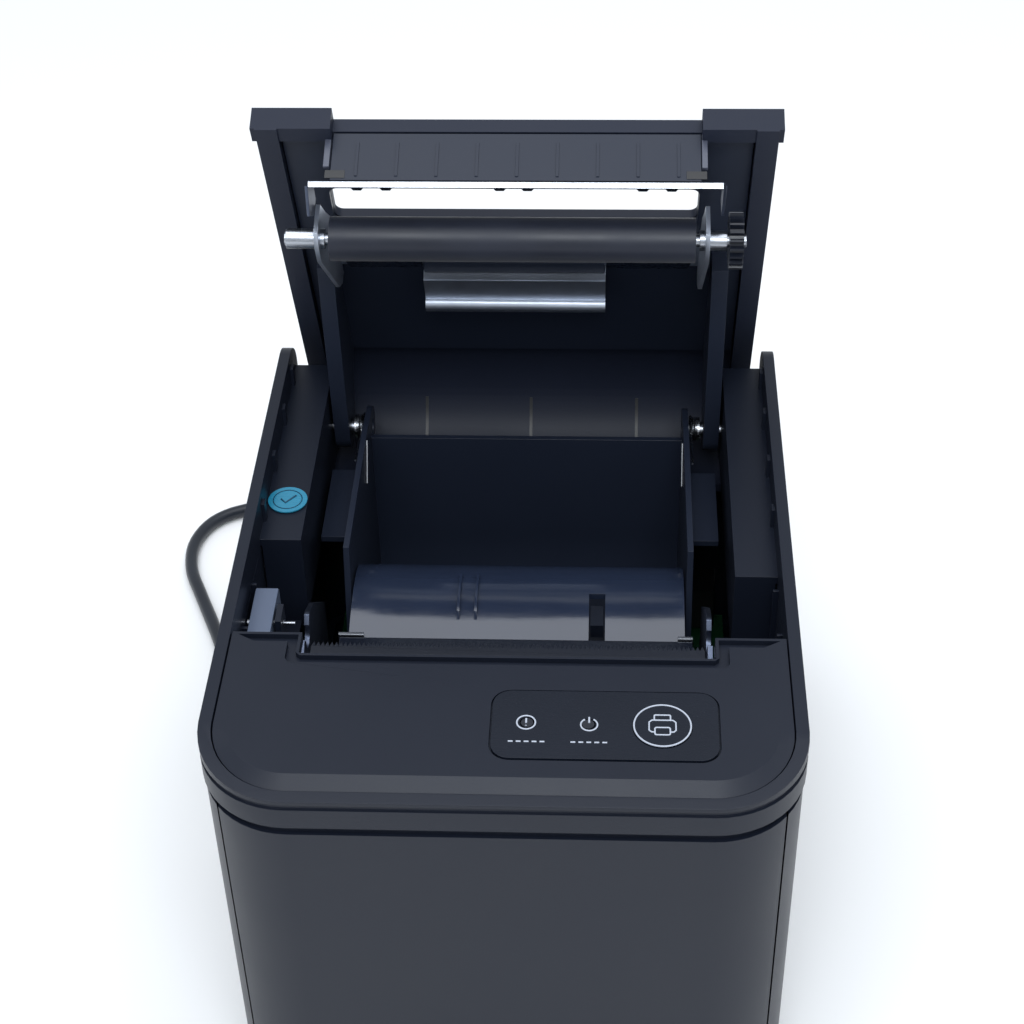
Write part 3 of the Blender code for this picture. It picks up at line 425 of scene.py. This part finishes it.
def smooth_route(points, spacing):
    """A Catmull-Rom curve through the points, read off at an even spacing."""
    knots = [Vector(p) for p in points]
    knots = [2 * knots[0] - knots[1]] + knots + [2 * knots[-1] - knots[-2]]
    fine = []
    for a, b, c, d in zip(knots, knots[1:], knots[2:], knots[3:]):
        for i in range(40):
            t = i / 40
            fine.append(
                0.5 * (2 * b + (c - a) * t
                       + (2 * a - 5 * b + 4 * c - d) * t * t
                       + (3 * b - a - 3 * c + d) * t**3)
            )
    fine.append(knots[-2])
    steps = [(q - p).length for p, q in zip(fine, fine[1:])]
    count = max(2, round(sum(steps) / spacing))
    even = sum(steps) / count
    route = [fine[0]]
    walked = 0.0
    for point, step in zip(fine[1:], steps):
        walked += step
        if walked >= even * len(route) - 1e-6 and len(route) < count:
            route.append(point)
    route.append(fine[-1])
    return route


def eased(share):
    """A share from 0 to 1, starting and ending gently."""
    share = min(max(share, 0.0), 1.0)
    return share * share * (3 - 2 * share)


def coil_route(per_turn=30, crossing=0.16):
    """The tied coil: a turn in each place of the bundle, stepping to the next place as each turn ends."""
    route = []
    steps = round(COIL_TURNS * per_turn)
    for i in range(steps + 1):
        turns = i / per_turn
        slot = min(int(turns), len(COIL_SLOTS) - 1)
        into = turns - slot
        radius, height = COIL_SLOTS[slot]
        if slot:
            before = COIL_SLOTS[slot - 1]
            share = eased(into / crossing)
            radius = before[0] + (radius - before[0]) * share
            height = before[1] + (height - before[1]) * share
        elif into < 0.25:
            radius = COIL_OUTSIDE + (radius - COIL_OUTSIDE) * eased(into / 0.25)
        left = COIL_TURNS - turns
        if left < 0.3:
            radius += (COIL_OUTSIDE - radius) * eased((0.3 - left) / 0.2)
            height += (COIL_SLOTS[0][1] - height) * eased((0.3 - left) / 0.3)
        angle = math.radians(COIL_START + 360 * turns)
        x, y = COIL_CENTRE
        route.append(Vector((x + radius * math.cos(angle), y + radius * math.sin(angle), height)))
    return route


def lead_route():
    """The whole lead: from the plug to the coil, round it, and on to the far connector."""
    coil = coil_route()
    rear = smooth_route(REAR_RUN + [tuple(coil[0])], 2.5)
    side = smooth_route([tuple(coil[-1])] + SIDE_RUN, 2.5)
    return rear + coil[1:-1] + side


RING = [2 * math.pi * i / 20 for i in range(20)]


def ribbed_relief(name, start, end, x, z, big, small, ribs):
    """A tapered strain relief with ribs, lying along Y from its housing to its tip."""
    rings = []
    steps = 2 * ribs
    for i in range(steps + 1):
        share = i / steps
        radius = big + (small - big) * share
        y = start + (end - start) * share
        deep = radius - (0.45 if i % 2 else 0.0)
        for shift in (-0.28, 0.28):
            along = y + shift * (end - start) / steps
            rings.append([(x + deep * math.cos(a), along, z + deep * math.sin(a)) for a in RING])
    return loft(name, rings, "cord", "base", 0.12)


def make_plug():
    """The square data plug: a metal shell and a soft grip."""
    shell = [upright_loop(PLUG_X, PLUG_Z, 3.9, 3.3, 0.9, y) for y in (74.6, 87.4)]
    loft("plug_shell", shell, "steel", "base", 0.15)
    profile = [(86.9, 5.0, 4.3), (87.5, 5.6, 4.9), (95.5, 5.6, 4.9), (98.0, 5.0, 4.4), (99.0, 3.9, 3.6)]
    grip = [upright_loop(PLUG_X, PLUG_Z, half_x, half_z, 1.4, y) for y, half_x, half_z in profile]
    made = loft("plug_grip", grip, "cord", "base", 0.2)
    for i in range(3):
        y = 89.6 + 2.0 * i
        for side in (-1, 1):
            x = PLUG_X + side * 5.55
            slab(
                f"plug_ridge_{i}_{side + 1}", (x - 0.3, x + 0.3),
                (y, y + 0.9), (18.6, 24.4), "cord", "base", 0.2,
            )
    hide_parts("data_plug")
    return made


def make_connector():
    """The flat connector at the far end: a metal shell with a tongue and contacts, and a soft grip."""
    x, z = -74.8, 4.1
    shell = [upright_loop(x, z, 6.0, 2.25, 0.5, y) for y in (0.9, 12.6)]
    loft("connector_shell", shell, "steel", "base", 0.12)
    mouth = [upright_loop(x, z, 5.6, 1.85, 0.4, y) for y in (0.3, 1.1)]
    loft("connector_mouth", mouth, "socket", "base", 0.08)
    for i in range(4):
        place = x - 3.6 + 2.4 * i
        slab(
            f"connector_contact_{i}", (place - 0.5, place + 0.5),
            (0.1, 0.7), (3.2, 3.6), "contact", "base", 0.03,
        )
    profile = [(12.2, 6.9, 3.3), (13.0, 7.6, 3.8), (26.5, 7.6, 3.8), (30.0, 6.4, 3.5), (32.0, 4.2, 3.1)]
    grip = [upright_loop(x, z, half_x, half_z, 1.5, y) for y, half_x, half_z in profile]
    made = loft("connector_grip", grip, "cord", "base", 0.2)
    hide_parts("data_connector")
    return made


def make_tie():
    """The strap round the coil, with its small head outside."""
    turn = math.radians(205)
    outward = Vector((math.cos(turn), math.sin(turn), 0))
    along = Vector((-math.sin(turn), math.cos(turn), 0))
    centre = Vector((*COIL_CENTRE, 0))
    rings = []
    for offset, grow in ((-2, 0.0), (-2, 0.16), (2, 0.16), (2, 0.0)):
        near, far, low, high = 16.9 - grow, 29.1 + grow, 0.2 - grow, 12.4 + grow
        loop = rounded_loop(near, far, low, high, 2.0, 0, 5)
        rings.append([centre + outward * a + along * offset + Vector((0, 0, b)) for a, b, _ in loop])
    mesh = bmesh.new()
    layers = [[mesh.verts.new(p * MM) for p in ring] for ring in rings]
    for lower, upper in zip(layers, layers[1:] + layers[:1]):
        for i in range(len(lower)):
            j = (i + 1) % len(lower)
            mesh.faces.new((lower[i], lower[j], upper[j], upper[i]))
    bmesh.ops.recalc_face_normals(mesh, faces=mesh.faces)
    data = bpy.data.meshes.new("lead_tie")
    mesh.to_mesh(data)
    mesh.free()
    tie = settle(bpy.data.objects.new("lead_tie", data), "socket", "base")
    round_edges(tie, 0)
    corners = ((29.0, -2.6), (31.2, -2.6), (31.2, 2.6), (29.0, 2.6))
    head = [[centre + outward * a + along * b + Vector((0, 0, z)) for a, b in corners] for z in (5.0, 9.0)]
    return [tie, loft("tie_head", head, "socket", "base", 0.3)]


def make_lead():
    """The lead along its route, with its plug, connector, reliefs and tie."""
    route = lead_route()
    lead = line("data_lead", route, CORD_RADIUS, "cord", "base", sides=4)
    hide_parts("data_lead_rear", "lead_coil", "data_lead_side")
    plug, connector = make_plug(), make_connector()
    on_lead = [
        plug, connector,
        ribbed_relief("plug_relief", 98.6, 110.0, PLUG_X, PLUG_Z, 3.6, 2.35, 4),
        ribbed_relief("connector_relief", 31.6, 37.5, -74.8, 4.1, 3.0, 2.3, 3),
        *make_tie(),
    ]


make_lead()


# ---------------------------------------------------------------- marks on the indicator window

def make_marks():
    """The printed marks: a warning mark, a power mark, plain dashes under them, and the feed button's."""
    top = PANEL_Z + 0.17
    fine = 0.19
    line("warning_ring", arc(5.0, -65.4, top, 1.95, 0, 352, 44), fine, "print", "base", loop=True)
    line("warning_bar", [(5.0, -64.3, top), (5.0, -65.6, top)], 0.22, "print", "base")
    line("warning_dot", [(5.0, -66.3, top), (5.0, -66.4, top)], 0.22, "print", "base")
    line("power_arc", arc(18.2, -65.8, top, 1.75, 122, 418, 40), fine, "print", "base")
    line("power_bar", [(18.2, -63.7, top), (18.2, -65.3, top)], 0.22, "print", "base")
    for name, first in (("warning", 1.4), ("power", 14.4)):
        for i in range(5):
            x = first + 1.65 * i
            line(f"{name}_dash_{i}", [(x, -70.9, top), (x + 1.0, -70.9, top)], 0.2, "print", "base")
    cap = PANEL_Z + 0.47
    x, y = BUTTON
    line("button_ring", arc(x, y, cap, 5.95, 0, 356, 90), 0.2, "print", "button", loop=True)
    paper = rounded_loop(x - 1.7, x + 1.7, y + 1.5, y + 3.0, 0.25, cap, 2)
    tray = rounded_loop(x - 1.6, x + 1.6, y - 2.7, y - 0.6, 0.35, cap, 2)
    line("feed_paper", paper, fine, "print", "button", loop=True)
    line("feed_tray", tray, fine, "print", "button", loop=True)
    half = [(1.6, -1.9), (2.3, -1.9), (2.8, -1.4), (2.8, 0.9), (2.2, 1.5)]
    outline = [(-a, b) for a, b in half] + half[::-1]
    line("feed_body", [(x + a, y + b, cap) for a, b in outline], fine, "print", "button")


make_marks()


# ---------------------------------------------------------------- the seal's print

def make_seal_print():
    """A plain ring and tick on the round seal."""
    x, y, z = -56.2, 15.9, 112.42
    line("seal_ring", arc(x, y, z, 3.5, 0, 354, 60), 0.13, "ink", "base", loop=True, sides=1)
    tick = [(x - 1.6, y + 0.1, z), (x - 0.4, y - 1.3, z), (x + 1.9, y + 1.5, z)]
    line("seal_tick", tick, 0.25, "ink", "base", sides=1)


make_seal_print()


# ---------------------------------------------------------------- the lid's inside

def make_lid_details():
    """Flanges, bumps and lips inside the lid, with thin dark sheets painted as the shade in its pockets and
    slits, in the closed lid's coordinates.
    """
    for name, low, high in (("left", -43.5, -42.1), ("right", 41.9, 43.2)):
        slab(f"wall_flange_{name}", (low, high), (-34.6, -33.6), (106.4, 115.8), "flange", "lid", 0.15, True)
    # Each pocket is a thin dark sheet on the wall: painted shade standing in for the recess.
    for name, side in (("left", -1), ("right", 1)):
        inner, outer = sorted((side * 38.4, side * 43.0))
        pocket = [(inner, 103.4), (outer, 103.4), (outer, 105.6), (inner, 105.6)]
        prism(f"wall_pocket_shade_{name}", "Y", pocket, -34.35, -34.0, "socket", "lid", 0.1, True)
    for i, x in enumerate((-38.6, -31.7, -4.7, 1.9, 29.1, 35.9)):
        outline = [(x - 2.0, -14.2), (x - 1.0, -12.4), (x + 1.0, -12.4), (x + 2.0, -14.2)]
        prism(f"slot_bump_{i}", "Z", outline, 116.2, 119.4, "inner", "lid", 0.15, True)
    lip_left = [(-44.2, 11.6), (-29.6, 11.6), (-28.5, 13.0), (-27.4, 11.6)]
    lip_left += [(-24.8, 11.6), (-24.8, 15.0), (-43.0, 15.0)]
    lip_right = [(20.8, 11.6), (24.1, 11.6), (25.2, 13.0), (26.3, 11.6)]
    lip_right += [(41.8, 11.6), (40.6, 15.0), (20.8, 15.0)]
    prism("web_lip_left", "Z", lip_left, 113.2, 114.1, "window", "lid", 0.15, True)
    prism("web_lip_right", "Z", lip_right, 113.2, 114.1, "window", "lid", 0.15, True)
    slab("tab_block", (-24.4, 20.4), (10.2, 14.6), (111.4, 114.1), "inner", "lid", 0.4, True)
    # The slits are thin dark strips laid on the skirt: painted shadow in place of open slits.
    half, near, far = 0.4, 20.45, 20.7
    section = ((-half, near), (half, near), (half, far), (-half, far))
    for i, x in enumerate((-28.0, 0.5, 29.3)):
        rings = []
        for angle in (48, 40, 32, 24, 16):
            out, up = math.cos(math.radians(angle)), math.sin(math.radians(angle))
            rings.append([(x + dx, SKIRT_Y + r * out, HINGE.z + r * up) for dx, r in section])
        loft(f"skirt_slit_shadow_{i}", rings, "socket", "lid", 0, True)


def make_bracket_cheeks():
    """The strip's ends turn back beside the roller as thin plates."""
    left = [(-34.6, 100.9), (-28.2, 106.9), (-22.4, 106.4), (-22.4, 101.6), (-27.6, 97.6)]
    right = [(-34.6, 101.4), (-28.2, 106.9), (-22.6, 106.4), (-22.6, 101.9), (-28.2, 101.5)]
    prism("strip_cheek_left", "X", left, -47.2, -46.5, "blackened", "lid", 0.12, True)
    prism("strip_cheek_right", "X", right, 46.7, 47.4, "blackened", "lid", 0.12, True)


make_lid_details()
make_bracket_cheeks()


# ---------------------------------------------------------------- the base's inside

def make_base_details():
    """Paper clips, the springs' long legs and the thin ribs of the side pockets."""
    for name, low, high in (("left", -42.4, -36.2), ("right", 38.6, 42.2)):
        slab(f"paper_clip_{name}", (low, high), (-11.35, -10.45), (88.6, 93.3), "steel", "base", 0.12)
    for name, side in (("left", -1), ("right", 1)):
        x = side * 40.7
        line(
            f"spring_leg_{name}", [(x, 50.0, 104.3), (x, 47.4, 100.0), (x, 44.1, 94.9)],
            0.35, "spring", "base",
        )
        wide = (-61.3, -59.9) if side < 0 else (59.9, 61.3)
        for i, y in enumerate((-13.4, -28.2)):
            slab(f"pocket_rib_{name}_{i}", wide, (y - 0.4, y + 0.4), (87.0, 111.0), "case", "base", 0.1)


make_base_details()


# ---------------------------------------------------------------- stage and light

def floor():
    """The white sheet that the object stands on."""
    mesh = bmesh.new()
    half, under = 6.0, -0.0002
    corners = ((-half, -half), (half, -half), (half, half), (-half, half))
    mesh.faces.new([mesh.verts.new((x, y, under)) for x, y in corners])
    data = bpy.data.meshes.new("floor")
    mesh.to_mesh(data)
    mesh.free()
    made = bpy.data.objects.new("floor", data)
    bpy.context.scene.collection.objects.link(made)
    material, tree, principled, where = shader("floor_paper", (0.9, 0.9, 0.9, 1), 0.9, Specular_IOR_Level=0.1)
    tree.links.new(
        ranged(tree, noise(tree, where.outputs["Object"], 60.0), 0.85, 0.95), principled.inputs["Roughness"]
    )
    data.materials.append(material)


def light(name, place, target, power, width, height, colour):
    """A rectangular lamp at a place, turned to a target, in metres and watts."""
    data = bpy.data.lights.new(name, "AREA")
    data.shape = "RECTANGLE"
    data.size, data.size_y = width, height
    data.energy = power
    data.color = colour
    made = bpy.data.objects.new(name, data)
    made.location = place
    made.rotation_euler = (Vector(target) - Vector(place)).to_track_quat("-Z", "Y").to_euler()
    bpy.context.scene.collection.objects.link(made)


floor()
world = bpy.data.worlds.new("studio")
world.use_nodes = True
world.node_tree.nodes["Background"].inputs["Color"].default_value = (0.9, 0.95, 1.0, 1)
world.node_tree.nodes["Background"].inputs["Strength"].default_value = 0.7
bpy.context.scene.world = world
bpy.context.scene.view_settings.view_transform = "Standard"
light("overhead", (0.0, 0.1, 1.4), (0, 0, 0.1), 9, 1.2, 0.9, (0.93, 0.96, 1.0))
light("front", (-0.35, -0.8, 1.3), (0, 0, 0.12), 3.5, 0.7, 0.5, (0.95, 0.97, 1.0))
light("fill", (0.05, -0.45, 0.7), (0, 0.05, 0.12), 2.2, 0.3, 0.25, (0.88, 0.94, 1.0))
light("right", (1.1, -0.3, 0.8), (0, 0, 0.1), 1.2, 0.6, 0.8, (0.95, 0.97, 1.0))
